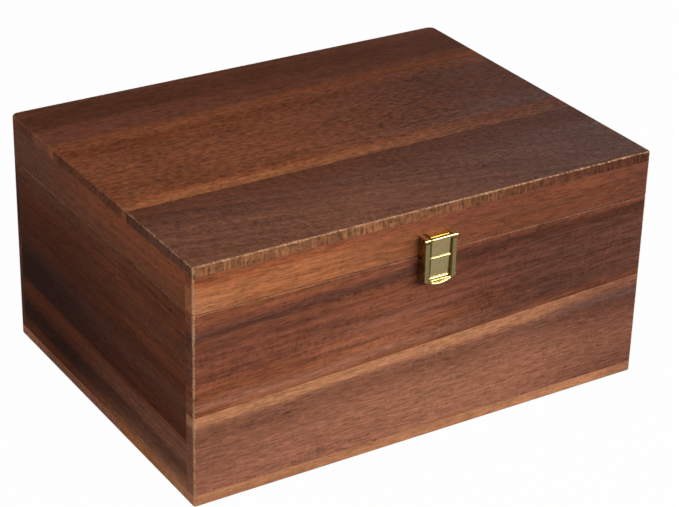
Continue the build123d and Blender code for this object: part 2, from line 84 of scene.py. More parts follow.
sweep_paint = bpy.data.materials.new("sweep_paint")
sweep_paint.use_nodes = True
sweep = sweep_paint.node_tree
matt = sweep.nodes["Principled BSDF"]
matt.inputs["Base Color"].default_value = (FLOOR_ALBEDO,) * 3 + (1,)
matt.inputs["Roughness"].default_value = FLOOR_ROUGHNESS
glow = sweep.nodes.new("ShaderNodeEmission")
seen = sweep.nodes.new("ShaderNodeLightPath")
lift = sweep.nodes.new("ShaderNodeMath")
lift.operation = "MULTIPLY"
lift.inputs[1].default_value = FLOOR_LIFT
both = sweep.nodes.new("ShaderNodeMixShader")
sweep.links.new(seen.outputs["Is Camera Ray"], lift.inputs[0])
sweep.links.new(lift.outputs[0], both.inputs["Fac"])
sweep.links.new(matt.outputs[0], both.inputs[1])
sweep.links.new(glow.outputs[0], both.inputs[2])
sweep.links.new(both.outputs[0], sweep.nodes["Material Output"].inputs["Surface"])

bpy.ops.mesh.primitive_plane_add(size=FLOOR_SIZE)
floor = bpy.context.object
floor.name = "floor"
floor.data.materials.append(sweep_paint)


# Bottom panel: three hardwood boards glued edge to edge, grain running from end to end. Their
# edges show as a thin strip under the walls, straw-coloured at the front left. Stained brown and
# lacquered like all the wood.
STAIN_TONES = {
    # The pale tone of worn arrises, laid on both as wear and as a painted highlight.
    "bare_and_highlit": (0.480, 0.270, 0.150),
    "straw": (0.400, 0.170, 0.080),
    "honey": (0.340, 0.117, 0.044),
    "fawn": (0.280, 0.108, 0.062),
    "tan": (0.240, 0.092, 0.052),
    "ginger": (0.275, 0.078, 0.029),
    "copper": (0.220, 0.067, 0.027),
    "auburn": (0.178, 0.047, 0.016),
    "cinnamon": (0.200, 0.076, 0.042),
    "hazel": (0.197, 0.078, 0.034),
    "clay": (0.160, 0.058, 0.033),
    "sorrel": (0.165, 0.050, 0.026),
    "chestnut": (0.140, 0.044, 0.021),
    "russet": (0.125, 0.030, 0.009),
    "umber": (0.100, 0.029, 0.013),
    "mahogany": (0.095, 0.021, 0.006),
    "walnut": (0.100, 0.036, 0.022),
    "ash": (0.115, 0.054, 0.041),
    "cocoa": (0.068, 0.020, 0.010),
    "ebony": (0.038, 0.010, 0.005),
}
GRAIN_LAYS = {
    "wall_along_front": ("X", "Z", "Y"),
    "wall_along_side": ("Y", "Z", "X"),
    "panel": ("X", "Y", "Z"),
}
MM_PER_M = 1000.0
BASE_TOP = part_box("base_front_upper_board")[1].z * MM_PER_M
LID_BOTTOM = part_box("lid_front_rail")[0].z * MM_PER_M
LID_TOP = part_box("lid_top_front_board")[1].z * MM_PER_M
HALF_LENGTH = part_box("lid_top_front_board")[1].x * MM_PER_M
HALF_DEPTH = -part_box("lid_top_front_board")[0].y * MM_PER_M
SATIN_ROUGHNESS = 0.42
PORE_DULLNESS = 0.20
FIBRE_DULLNESS = 0.08
BARE_AND_HIGHLIT_DULLNESS = 0.15
SATIN_GLOSS = 0.10
GRAIN_RELIEF = 0.00005
CHANGE_WANDER = 0.10
GLUE_SHADOW = (0.25, 0.75)
RING_CONTRAST = 0.2
EDGE_FACING = (0.5, 0.9)
EDGE_BANDS = (1.5, 9.0, 9.0)
FRONT_CORNER_SLACK = 0.45
REAR_CORNER_SLACK = 1.45


def feed(tree, socket, value):
    """Links a node's output into a socket, or sets the socket to a plain value."""
    if isinstance(value, bpy.types.NodeSocket):
        tree.links.new(value, socket)
    else:
        socket.default_value = value


def reckon(tree, operation, *terms):
    """One step of arithmetic on outputs or plain numbers."""
    node = tree.nodes.new("ShaderNodeMath")
    node.operation = operation
    for socket, term in zip(node.inputs, terms):
        feed(tree, socket, term)
    return node.outputs[0]


def swing(tree, value, amount, around=1.0):
    """A value between 0 and 1 turned into a swing of this amount around a number or output."""
    return reckon(tree, "MULTIPLY_ADD", reckon(tree, "SUBTRACT", value, 0.5), amount, around)


def rescale(tree, value, from_range, to_range=(0.0, 1.0), smooth=False):
    """Carries a value from one range to another and holds it at the ends."""
    node = tree.nodes.new("ShaderNodeMapRange")
    node.interpolation_type = "SMOOTHSTEP" if smooth else "LINEAR"
    feed(tree, node.inputs["Value"], value)
    for label, bound in zip(("From Min", "From Max", "To Min", "To Max"), (*from_range, *to_range)):
        feed(tree, node.inputs[label], bound)
    return node.outputs["Result"]


def wood_noise(tree, along, across, depth, cells, detail=2.0, roughness=0.5):
    """Noise whose cells have the given sizes in mm along, across and through the board."""
    place = tree.nodes.new("ShaderNodeCombineXYZ")
    for socket, value, size in zip(place.inputs, (along, across, depth), cells):
        feed(tree, socket, reckon(tree, "DIVIDE", value, size))
    noise = tree.nodes.new("ShaderNodeTexNoise")
    noise.inputs["Scale"].default_value = 1.0
    noise.inputs["Detail"].default_value = detail
    noise.inputs["Roughness"].default_value = roughness
    tree.links.new(place.outputs[0], noise.inputs["Vector"])
    return noise.outputs["Fac"]


def mix_tone(tree, below, above, share):
    """Lays one colour over another."""
    node = tree.nodes.new("ShaderNodeMix")
    node.data_type = "RGBA"
    feed(tree, node.inputs["Factor"], share)
    for label, tone in (("A", below), ("B", above)):
        is_output = isinstance(tone, bpy.types.NodeSocket)
        feed(tree, node.inputs[label], tone if is_output else (*tone, 1))
    return node.outputs["Result"]


def place_in_mm(tree):
    """Where a point lies in the box's own frame, in mm."""
    coordinates = tree.nodes.new("ShaderNodeTexCoord")
    scaled = tree.nodes.new("ShaderNodeVectorMath")
    scaled.operation = "SCALE"
    scaled.inputs["Scale"].default_value = MM_PER_M
    tree.links.new(coordinates.outputs["Object"], scaled.inputs[0])
    split = tree.nodes.new("ShaderNodeSeparateXYZ")
    tree.links.new(scaled.outputs[0], split.inputs[0])
    return split.outputs


def outward_direction(tree):
    """Which way the surface faces in the box's own frame."""
    coordinates = tree.nodes.new("ShaderNodeTexCoord")
    split = tree.nodes.new("ShaderNodeSeparateXYZ")
    tree.links.new(coordinates.outputs["Normal"], split.inputs[0])
    return split.outputs


def new_group(name, inputs, outputs):
    """An empty shader node group with number sockets; inputs come with their usual values."""
    group = bpy.data.node_groups.new(name, "ShaderNodeTree")
    for label, usual in inputs.items():
        socket = group.interface.new_socket(label, in_out="INPUT", socket_type="NodeSocketFloat")
        socket.default_value = usual
    for label in outputs:
        group.interface.new_socket(label, in_out="OUTPUT", socket_type="NodeSocketFloat")
    given = group.nodes.new("NodeGroupInput").outputs
    result = group.nodes.new("NodeGroupOutput").inputs
    return group, given, result


def use_group(tree, group, **values):
    """Places a group in a material; the words are its inputs with underscores for spaces."""
    node = tree.nodes.new("ShaderNodeGroup")
    node.node_tree = group
    for label, value in values.items():
        feed(tree, node.inputs[label.replace("_", " ").title()], value)
    return node.outputs


WANDER_CELLS = (90.0, 25.0, 25.0)
FIBRE_CELLS = (10.0, 1.0, 1.4)
PORE_CELLS = (5.0, 0.5, 0.6)
CLOUD_CELLS = (60.0, 20.0, 30.0)
STREAK_LENGTH = 120.0
VEIN_LENGTH = 80.0
VEINS_ASIDE = 400.0
GRAIN_SEED_STEP = 211.0


def make_long_grain():
    """The grain along a board: wandering dark streaks, pale veins, fine fibres, open pores and
    broad clouds. Its cells have their sizes in mm along, across and through the board."""
    group, given, result = new_group(
        "long_grain",
        {"Along": 0, "Across": 0, "Depth": 0, "Slant": 0, "Waver": 2, "Streak Width": 3, "Seed": 0},
        ("Streaks", "Veins", "Fibres", "Pores", "Clouds"),
    )
    depth = reckon(group, "MULTIPLY_ADD", given["Seed"], GRAIN_SEED_STEP, given["Depth"])
    along = given["Along"]
    wander = wood_noise(group, along, given["Across"], depth, WANDER_CELLS)
    climb = reckon(group, "MULTIPLY", along, given["Slant"])
    line = swing(group, wander, given["Waver"], reckon(group, "SUBTRACT", given["Across"], climb))
    width = given["Streak Width"]
    deep = reckon(group, "MULTIPLY", width, 2.0)
    beside = reckon(group, "ADD", line, VEINS_ASIDE)
    for label, across, cells, detail, roughness, shown in (
        ("Streaks", line, (STREAK_LENGTH, width, deep), 3.0, 0.6, (0.49, 0.61)),
        ("Veins", beside, (VEIN_LENGTH, width, deep), 2.0, 0.6, (0.51, 0.62)),
        ("Fibres", line, FIBRE_CELLS, 3.0, 0.7, (0.28, 0.72)),
        ("Pores", line, PORE_CELLS, 1.0, 0.5, (0.60, 0.70)),
        ("Clouds", line, CLOUD_CELLS, 2.0, 0.5, (0.32, 0.68)),
    ):
        noise = wood_noise(group, along, across, depth, cells, detail, roughness)
        feed(group, result[label], rescale(group, noise, shown))
    return group


RIPPLE_WIDTH = 1.7
RIPPLE_STRETCH = 2.6
RIPPLE_PATCHES = (34.0, 12.0, 12.0)
FLECK_CELLS = (4.5, 2.2, 2.2)
FIGURE_SEED_STEP = 173.0


def make_curly_figure():
    """Ripples square to the grain, in patches, and the small light flecks of interlocked grain."""
    group, given, result = new_group(
        "curly_figure",
        {"Along": 0, "Across": 0, "Depth": 0, "Ripple": RIPPLE_WIDTH, "Seed": 0},
        ("Ripples", "Flecks"),
    )
    depth = reckon(group, "MULTIPLY_ADD", given["Seed"], FIGURE_SEED_STEP, given["Depth"])
    along, across, ripple = given["Along"], given["Across"], given["Ripple"]
    length = reckon(group, "MULTIPLY", ripple, RIPPLE_STRETCH)
    waves = wood_noise(group, along, across, depth, (ripple, length, length), roughness=0.6)
    patches = wood_noise(group, along, across, depth, RIPPLE_PATCHES, detail=1.0)
    strength = rescale(group, patches, (0.42, 0.60), (0.15, 1.0))
    crests = rescale(group, waves, (0.30, 0.70), (-0.5, 0.5))
    flecks = wood_noise(group, along, across, depth, FLECK_CELLS, roughness=0.6)
    feed(group, result["Ripples"], reckon(group, "MULTIPLY_ADD", crests, strength, 0.5))
    feed(group, result["Flecks"], rescale(group, flecks, (0.32, 0.68)))
    return group


def make_soft_patch():
    """An oval patch with a soft border, for knots, stains and worn places."""
    group, given, result = new_group(
        "soft_patch",
        {
            "Along": 0,
            "Across": 0,
            "Centre Along": 0,
            "Centre Across": 0,
            "Half Length": 10,
            "Half Width": 5,
        },
        ("Patch",),
    )
    over = []
    for way, half in (("Along", "Half Length"), ("Across", "Half Width")):
        offset = reckon(group, "SUBTRACT", given[way], given[f"Centre {way}"])
        share = reckon(group, "DIVIDE", offset, given[half])
        over.append(reckon(group, "MULTIPLY", share, share))
    reach = reckon(group, "SQRT", reckon(group, "ADD", *over))
    feed(group, result["Patch"], rescale(group, reach, (1.0, 0.0), smooth=True))
    return group


PALE_EDGE_BLOTCH = 11.0
PALE_EDGE_SPECKLE = 1.3
BLOTCH_REACH = -1.6
SPECKLE_REACH = -1.4
WORN_AND_HIGHLIT_WITHIN = (1.05, 0.15)


def make_worn_and_highlit_edges():
    """Where handling has worn the stain off the outer arrises, which also carry a painted
    highlight:
    the upright ones and those along the upper and the lower edge of the lid or the base."""
    group, given, result = new_group(
        "worn_and_highlit_edges",
        {"Half Length": HALF_LENGTH, "Half Depth": HALF_DEPTH, "Bottom": 0, "Top": LID_TOP},
        ("Uprights", "Upper", "Lower"),
    )
    x, y, z = place_in_mm(group)
    from_end = reckon(group, "SUBTRACT", given["Half Length"], reckon(group, "ABSOLUTE", x))
    from_face = reckon(group, "SUBTRACT", given["Half Depth"], reckon(group, "ABSOLUTE", y))
    surface = reckon(group, "MINIMUM", from_end, from_face)
    at_rear = reckon(group, "GREATER_THAN", y, 0.0)
    slack = rescale(group, at_rear, (0.0, 1.0), (FRONT_CORNER_SLACK, REAR_CORNER_SLACK))
    corner = reckon(group, "SUBTRACT", reckon(group, "MAXIMUM", from_end, from_face), slack)
    above = reckon(group, "SUBTRACT", z, given["Bottom"])
    below = reckon(group, "SUBTRACT", given["Top"], z)
    blotchy = wood_noise(group, x, y, z, (PALE_EDGE_BLOTCH,) * 3, roughness=0.6)
    speckled = wood_noise(group, x, y, z, (PALE_EDGE_SPECKLE,) * 3, detail=1.0)
    ragged = swing(group, blotchy, BLOTCH_REACH, swing(group, speckled, SPECKLE_REACH, 0.0))
    distances = {
        "Uprights": corner,
        "Upper": reckon(group, "MAXIMUM", surface, below),
        "Lower": reckon(group, "MAXIMUM", surface, above),
    }
    dots = rescale(group, speckled, (0.36, 0.62), (0.55, 1.0))
    for label, distance in distances.items():
        worn = rescale(group, reckon(group, "ADD", distance, ragged), WORN_AND_HIGHLIT_WITHIN, smooth=True)
        feed(group, result[label], reckon(group, "MULTIPLY", worn, dots))
    return group


RING_CELLS = (1.0, 9.0, 9.0)
RING_WARP = 6.0
RING_PHASE_PER_MM = 2.0
END_FACING = (0.45, 0.85)


def make_end_grain():
    """Marks the surfaces that cut across the grain, and the growth rings on them, whose lines cup
    across the thickness of the board."""
    group, given, result = new_group(
        "end_grain", {"Across": 0, "Depth": 0, "Facing": 0, "Cup": 40, "Seed": 0}, ("End", "Rings")
    )
    depth = given["Depth"]
    arc = reckon(group, "DIVIDE", reckon(group, "MULTIPLY", depth, depth), given["Cup"])
    ring_line = reckon(group, "ADD", given["Across"], arc)
    uneven = wood_noise(group, given["Seed"], ring_line, depth, RING_CELLS)
    warped = reckon(group, "MULTIPLY_ADD", uneven, RING_WARP, ring_line)
    rings = reckon(group, "SINE", reckon(group, "MULTIPLY", warped, RING_PHASE_PER_MM))
    facing = reckon(group, "ABSOLUTE", given["Facing"])
    feed(group, result["End"], rescale(group, facing, END_FACING))
    feed(group, result["Rings"], rescale(group, rings, (-1.0, 1.0)))
    return group


LONG_GRAIN = make_long_grain()
CURLY_FIGURE = make_curly_figure()
SOFT_PATCH = make_soft_patch()
WORN_AND_HIGHLIT_EDGES = make_worn_and_highlit_edges()
END_GRAIN = make_end_grain()


def tones_across(tree, distance, span, stops):
    """Stain tones laid across a board, each at its distance in mm from the board's first edge."""
    ramp = tree.nodes.new("ShaderNodeValToRGB")
    ramp.color_ramp.interpolation = "EASE"
    elements = ramp.color_ramp.elements
    elements.remove(elements[1])
    for number, (place, tone) in enumerate(stops):
        element = elements.new(place / span) if number else elements[0]
        element.position = place / span
        element.color = (*STAIN_TONES[tone], 1)
    tree.links.new(reckon(tree, "DIVIDE", distance, span), ramp.inputs["Fac"])
    return ramp.outputs["Color"]


def stain_board(
    board,
    lay,
    edge,
    inward,
    near,
    far,
    seed,
    change=(0.0, 1.0),
    slant=0.0,
    waver=2.5,
    streak_width=3.0,
    streak_tone="chestnut",
    streaks=0.4,
    veins=0.10,
    fibres=0.55,
    pores=0.30,
    clouds=0.16,
    ripples=0.10,
    flecks=0.15,
    front_edge=None,
    glue=0.0,
    ends=0.75,
    wear_and_highlight=(0.75, 0.35, 0.35),
    patches=(),
):
    """Gives a board its stained and lacquered wood. Tones are laid from the line edge (its place at
    the board's two ends) inward, by near at its first end and far at its other end, and turn from
    the one to the other over the share of its length in change. A front edge with upright bands has
    their strength and its two tones in front_edge. Wear, with the painted highlight that goes with
    it, is for upright, upper and lower arrises. Patches are tone, strength, centre and half size in
    mm along and across the board."""
    material = bpy.data.materials.new(f"stained_{board}")
    material.use_nodes = True
    tree = material.node_tree
    axes = place_in_mm(tree)
    outward = outward_direction(tree)
    along, across, depth = (axes[axis] for axis in GRAIN_LAYS[lay])

    run_axis = "XYZ".index(GRAIN_LAYS[lay][0])
    start, end = (corner[run_axis] * MM_PER_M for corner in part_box(board))
    line = rescale(tree, along, (start, end), edge)
    distance = reckon(tree, "MULTIPLY", reckon(tree, "SUBTRACT", across, line), inward)
    grain = use_group(
        tree,
        LONG_GRAIN,
        along=along,
        across=across,
        depth=depth,
        slant=slant,
        waver=waver,
        streak_width=streak_width,
        seed=seed,
    )
    strayed = swing(tree, grain["Clouds"], waver, distance)
    shifted = swing(tree, grain["Clouds"], CHANGE_WANDER * (end - start), along)
    change_run = [start + part * (end - start) for part in change]
    far_share = rescale(tree, shifted, change_run, smooth=True)
    span = max(near[-1][0], far[-1][0])
    near_tones = tones_across(tree, strayed, span, near)
    far_tones = tones_across(tree, strayed, span, far)
    colour = mix_tone(tree, near_tones, far_tones, far_share)
    for tone, strength, centre, half in patches:
        spot = use_group(
            tree,
            SOFT_PATCH,
            along=along,
            across=across,
            centre_along=centre[0],
            centre_across=centre[1],
            half_length=half[0],
            half_width=half[1],
        )
        shown = reckon(tree, "MULTIPLY", spot["Patch"], strength)
        colour = mix_tone(tree, colour, STAIN_TONES[tone], shown)
    shown = reckon(tree, "MULTIPLY", grain["Streaks"], streaks)
    colour = mix_tone(tree, colour, STAIN_TONES[streak_tone], shown)

    curl = use_group(tree, CURLY_FIGURE, along=along, across=across, depth=depth, seed=seed)
    facing = outward[GRAIN_LAYS[lay][0]]
    cut = use_group(tree, END_GRAIN, across=across, depth=depth, facing=facing, seed=seed)
    light = swing(tree, grain["Fibres"], fibres)
    light = swing(tree, grain["Clouds"], clouds, light)
    light = reckon(tree, "MULTIPLY_ADD", grain["Veins"], veins, light)
    if front_edge:
        band_strength, near_edge, far_edge = front_edge
        on_edge = rescale(tree, reckon(tree, "ABSOLUTE", outward["Y"]), EDGE_FACING)
        edge_tone = mix_tone(tree, STAIN_TONES[near_edge], STAIN_TONES[far_edge], far_share)
        colour = mix_tone(tree, colour, edge_tone, on_edge)
        bands = wood_noise(tree, along, across, depth, EDGE_BANDS, detail=1.0)
        bands = rescale(tree, bands, (0.42, 0.70), (-0.25, 0.75))
        patchy = rescale(tree, grain["Clouds"], (0.1, 0.7), (0.4, 1.0))
        patchy = reckon(tree, "MULTIPLY", on_edge, patchy)
        shown = reckon(tree, "MULTIPLY", patchy, band_strength)
        light = reckon(tree, "MULTIPLY_ADD", bands, shown, light)
    light = swing(tree, curl["Ripples"], ripples, light)
    light = swing(tree, curl["Flecks"], flecks, light)
    light = reckon(tree, "MULTIPLY_ADD", grain["Pores"], -pores, light)
    ringed = swing(tree, cut["Rings"], RING_CONTRAST * ends, ends)
    light = reckon(tree, "MULTIPLY", light, rescale(tree, cut["End"], (0.0, 1.0), (1.0, ringed)))
    if glue:
        from_joint = reckon(tree, "ABSOLUTE", distance)
        shadow = rescale(tree, from_joint, GLUE_SHADOW, (1.0 - glue, 1.0), smooth=True)
        light = reckon(tree, "MULTIPLY", light, shadow)
    shaded = tree.nodes.new("ShaderNodeVectorMath")
    shaded.operation = "SCALE"
    tree.links.new(colour, shaded.inputs[0])
    tree.links.new(light, shaded.inputs["Scale"])
    bottom, top = (LID_BOTTOM, LID_TOP) if board.startswith("lid") else (0.0, BASE_TOP)
    rubbed_and_highlit = use_group(
        tree, WORN_AND_HIGHLIT_EDGES, half_length=HALF_LENGTH, half_depth=HALF_DEPTH, bottom=bottom, top=top
    )
    # Pale arrises: worn wood together with a painted highlight.
    bared_and_highlit = 0.0
    for label, strength in zip(("Uprights", "Upper", "Lower"), wear_and_highlight):
        bared_and_highlit = reckon(tree, "MAXIMUM", bared_and_highlit, reckon(tree, "MULTIPLY", rubbed_and_highlit[label], strength))
    colour = mix_tone(tree, shaded.outputs[0], STAIN_TONES["bare_and_highlit"], bared_and_highlit)

    finish = tree.nodes["Principled BSDF"]
    tree.links.new(colour, finish.inputs["Base Color"])
    dull = reckon(tree, "MULTIPLY_ADD", grain["Pores"], PORE_DULLNESS, SATIN_ROUGHNESS)
    dull = reckon(tree, "MULTIPLY_ADD", grain["Fibres"], FIBRE_DULLNESS, dull)
    dull = reckon(tree, "MULTIPLY_ADD", bared_and_highlit, BARE_AND_HIGHLIT_DULLNESS, dull)
    tree.links.new(dull, finish.inputs["Roughness"])
    finish.inputs["Specular IOR Level"].default_value = SATIN_GLOSS
    height = reckon(tree, "MULTIPLY_ADD", grain["Pores"], -1.0, grain["Fibres"])
    height = reckon(tree, "MULTIPLY_ADD", curl["Ripples"], ripples, height)
    relief = tree.nodes.new("ShaderNodeBump")
    relief.inputs["Strength"].default_value = 1.0
    relief.inputs["Distance"].default_value = GRAIN_RELIEF
    tree.links.new(height, relief.inputs["Height"])
    tree.links.new(relief.outputs["Normal"], finish.inputs["Normal"])
    nodes[board].material_slots[0].material = material


stain_board(
    "bottom_front_board",
    lay="panel",
    edge=(-HALF_DEPTH, -HALF_DEPTH),
    inward=1,
    near=[(0, "straw"), (14, "straw"), (60, "honey"), (90, "honey")],
    far=[(0, "straw"), (12, "honey"), (40, "clay"), (90, "russet")],
    seed=1,
    change=(0.2, 0.55),
    streaks=0.25,
    ends=1.4,
    wear_and_highlight=(0.5, 0.0, 0.4),
    patches=[("tan", 0.6, (150.0, -119.4), (28.0, 20.0))],
)
stain_board(
    "bottom_middle_board",
    lay="panel",
    edge=(-HALF_DEPTH, -HALF_DEPTH),
    inward=1,
    near=[(90, "fawn"), (130, "tan"), (180, "cinnamon"), (200, "cinnamon")],
    far=[(90, "clay"), (130, "chestnut"), (200, "walnut")],
    seed=2,
    change=(0.05, 0.6),
    ends=1.5,
)
stain_board(
    "bottom_rear_board",
    lay="panel",
    edge=(-HALF_DEPTH, -HALF_DEPTH),
    inward=1,
    near=[(200, "tan"), (220, "fawn"), (238, "fawn")],
    far=[(200, "clay"), (220, "chestnut"), (238, "walnut")],
    seed=3,
    change=(0.05, 0.6),
    ends=1.6,
)


def joint_line(lower, upper, axis):
    """Where two glued boards meet: the joint's place at its first and its second end, in mm."""
    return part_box(upper)[0][axis] * MM_PER_M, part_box(lower)[1][axis] * MM_PER_M


# Back wall of the base: two boards glued edge to edge, standing on the bottom panel.
# The upper one is cut out at the top for the two hinges.
BACK_JOINT = tuple(reversed(joint_line("base_back_lower_board", "base_back_upper_board", 2)))
stain_board(
    "base_back_lower_board",
    lay="wall_along_front",
    edge=BACK_JOINT,
    inward=-1,
    near=[(0, "copper"), (14, "clay"), (30, "chestnut"), (55, "clay")],
    far=[(0, "clay"), (14, "chestnut"), (30, "walnut"), (55, "walnut")],
    seed=4,
    glue=0.3,
)
stain_board(
    "base_back_upper_board",
    lay="wall_along_front",
    edge=BACK_JOINT,
    inward=1,
    near=[(0, "auburn"), (8, "chestnut"), (22, "cocoa"), (40, "walnut"), (60, "auburn")],
    far=[(0, "chestnut"), (10, "walnut"), (26, "cocoa"), (44, "chestnut"), (62, "clay")],
    seed=5,
    streak_tone="cocoa",
    ends=0.85,
)


# Left and right walls of the base: two boards each, butted between the front and back walls,
# whose end grain shows beside them.
LEFT_JOINT = joint_line("base_left_lower_board", "base_left_upper_board", 2)
RIGHT_JOINT = joint_line("base_right_lower_board", "base_right_upper_board", 2)
stain_board(
    "base_left_lower_board",
    lay="wall_along_side",
    edge=LEFT_JOINT,
    inward=-1,
    near=[(0, "auburn"), (7, "tan"), (14, "tan"), (19, "clay"), (25, "tan"), (32, "straw")],
    far=[
        (0, "mahogany"), (7, "russet"), (13, "mahogany"), (18, "ebony"), (27, "ebony"),
        (34, "russet"),
    ],
    seed=6,
    change=(0.0, 0.75),
    streak_tone="cocoa",
    streaks=0.3,
    fibres=0.85,
    ripples=0.30,
    wear_and_highlight=(0.75, 0.0, 0.25),
)
stain_board(
    "base_left_upper_board",
    lay="wall_along_side",
    edge=LEFT_JOINT,
    inward=1,
    near=[
        (0, "mahogany"), (10, "russet"), (20, "chestnut"), (33, "russet"), (45, "auburn"),
        (56, "chestnut"), (64, "auburn"), (84, "auburn"),
    ],
    far=[
        (0, "ebony"), (16, "ebony"), (26, "cocoa"), (38, "mahogany"), (50, "mahogany"),
        (60, "russet"), (76, "chestnut"),
    ],
    seed=7,
    change=(0.0, 0.85),
    streak_tone="ebony",
    streaks=0.35,
    fibres=0.85,
    ripples=0.30,
    glue=0.3,
    wear_and_highlight=(0.75, 0.4, 0.0),
)
stain_board(
    "base_right_lower_board",
    lay="wall_along_side",
    edge=RIGHT_JOINT,
    inward=-1,
    near=[(0, "honey"), (7, "copper"), (14, "clay"), (40, "cinnamon"), (62, "tan")],
    far=[(0, "copper"), (9, "clay"), (24, "chestnut"), (44, "clay"), (66, "cinnamon")],
    seed=8,
)
stain_board(
    "base_right_upper_board",
    lay="wall_along_side",
    edge=RIGHT_JOINT,
    inward=1,
    near=[(0, "walnut"), (12, "chestnut"), (26, "cocoa"), (40, "walnut"), (57, "auburn")],
    far=[(0, "chestnut"), (14, "cocoa"), (28, "walnut"), (42, "auburn"), (52, "russet")],
    seed=9,
    streak_tone="cocoa",
    glue=0.3,
)


# Front wall of the base: a darker streaked board over a lighter one whose pale sapwood edge
# runs along the joint. The joint climbs a little to the right.
FRONT_JOINT = joint_line("base_front_lower_board", "base_front_upper_board", 2)
stain_board(
    "base_front_lower_board",
    lay="wall_along_front",
    edge=FRONT_JOINT,
    inward=-1,
    near=[
        (0, "straw"), (5.5, "straw"), (8.5, "tan"), (11, "cinnamon"), (16, "cinnamon"),
        (22, "tan"), (36, "fawn"), (50, "fawn"), (58, "fawn"),
    ],
    far=[
        (0, "tan"), (3, "cinnamon"), (6, "clay"), (10, "ash"), (15, "walnut"), (26, "clay"),
        (42, "cinnamon"), (58, "clay"),
    ],
    seed=10,
    change=(0.60, 1.0),
    streaks=0.12,
    fibres=0.90,
    ripples=0.26,
    ends=1.1,
    wear_and_highlight=(0.75, 0.0, 0.0),
    patches=[
        ("clay", 0.35, (11.0, 48.0), (50.0, 3.5)),
        ("clay", 0.4, (-120.0, 44.0), (50.0, 4.0)),
        ("cinnamon", 0.5, (-150.0, 25.0), (50.0, 22.0)),
        ("straw", 0.25, (5.0, 27.0), (115.0, 30.0)),
        ("clay", 0.6, (125.0, 8.5), (60.0, 4.0)),
        ("cocoa", 0.7, (-29.3, 32.9), (1.2, 0.8)),
        ("ebony", 0.9, (-36.4, 7.2), (3.2, 1.8)),
    ],
)
stain_board(
    "base_front_upper_board",
    lay="wall_along_front",
    edge=FRONT_JOINT,
    inward=1,
    near=[
        (0, "copper"), (5, "tan"), (12, "copper"), (25, "sorrel"), (38, "sorrel"),
        (46, "chestnut"), (52, "walnut"), (56, "sorrel"), (61, "copper"),
    ],
    far=[
        (0, "chestnut"), (8, "walnut"), (28, "walnut"), (42, "walnut"), (50, "cocoa"),
        (54, "chestnut"),
    ],
    seed=11,
    change=(0.45, 0.75),
    slant=0.03,
    waver=3.0,
    streak_width=4.0,
    streak_tone="cocoa",
    streaks=0.4,
    veins=0.22,
    fibres=0.90,
    ripples=0.40,
    glue=0.25,
    ends=1.0,
    wear_and_highlight=(0.85, 0.22, 0.0),
    patches=[
        ("cocoa", 0.35, (-115.0, 111.0), (60.0, 2.2)),
        ("copper", 0.55, (-30.0, 105.0), (48.0, 9.0)),
        ("tan", 0.45, (-40.0, 84.0), (80.0, 24.0)),
        ("copper", 0.5, (-30.0, 95.5), (50.0, 2.5)),
        ("copper", 0.4, (-40.0, 83.0), (60.0, 6.0)),
        ("cocoa", 0.5, (39.0, 116.0), (26.0, 6.0)),
    ],
)


# Frame of the lid: four rails butted like the walls, cut from the same glued box along the seam.
# Stained like the walls, honey brown at the front left and russet elsewhere.
RAIL_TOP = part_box("lid_front_rail")[1].z * MM_PER_M
stain_board(
    "lid_back_rail",
    lay="wall_along_front",
    edge=(RAIL_TOP, RAIL_TOP),
    inward=-1,
    near=[(0, "russet"), (8, "auburn"), (16, "clay"), (24, "auburn")],
    far=[(0, "auburn"), (8, "chestnut"), (16, "cocoa"), (24, "walnut")],
    seed=12,
    ends=1.15,
)
stain_board(
    "lid_left_rail",
    lay="wall_along_side",
    edge=(RAIL_TOP, RAIL_TOP),
    inward=-1,
    near=[(0, "ginger"), (11, "ginger"), (17, "copper"), (23.4, "copper")],
    far=[(0, "clay"), (18, "clay"), (23.4, "chestnut")],
    seed=13,
    change=(0.35, 0.95),
    streaks=0.3,
    fibres=0.80,
    ripples=0.25,
    wear_and_highlight=(0.75, 0.0, 0.4),
)
stain_board(
    "lid_right_rail",
    lay="wall_along_side",
    edge=(RAIL_TOP, RAIL_TOP),
    inward=-1,
    near=[(0, "walnut"), (6, "auburn"), (15, "clay"), (24, "chestnut")],
    far=[(0, "clay"), (8, "auburn"), (15, "walnut"), (24, "chestnut")],
    seed=14,
)
stain_board(
    "lid_front_rail",
    lay="wall_along_front",
    edge=(RAIL_TOP, RAIL_TOP),
    inward=-1,
    near=[(0, "copper"), (5, "ginger"), (9, "honey"), (14, "honey"), (23.4, "honey")],
    far=[(0, "sorrel"), (6, "sorrel"), (9, "chestnut"), (15, "chestnut"), (23.4, "chestnut")],
    seed=15,
    change=(0.15, 0.70),
    streak_tone="auburn",
    streaks=0.3,
    veins=0.15,
    fibres=0.85,
    ripples=0.2,
    ends=1.0,
    wear_and_highlight=(0.85, 0.0, 0.2),
    patches=[
        ("copper", 0.6, (100.0, 143.0), (50.0, 4.0)),
        ("walnut", 0.7, (160.0, 137.0), (40.0, 22.0)),
        ("straw", 0.35, (-152.0, 129.0), (34.0, 9.0)),
    ],
)
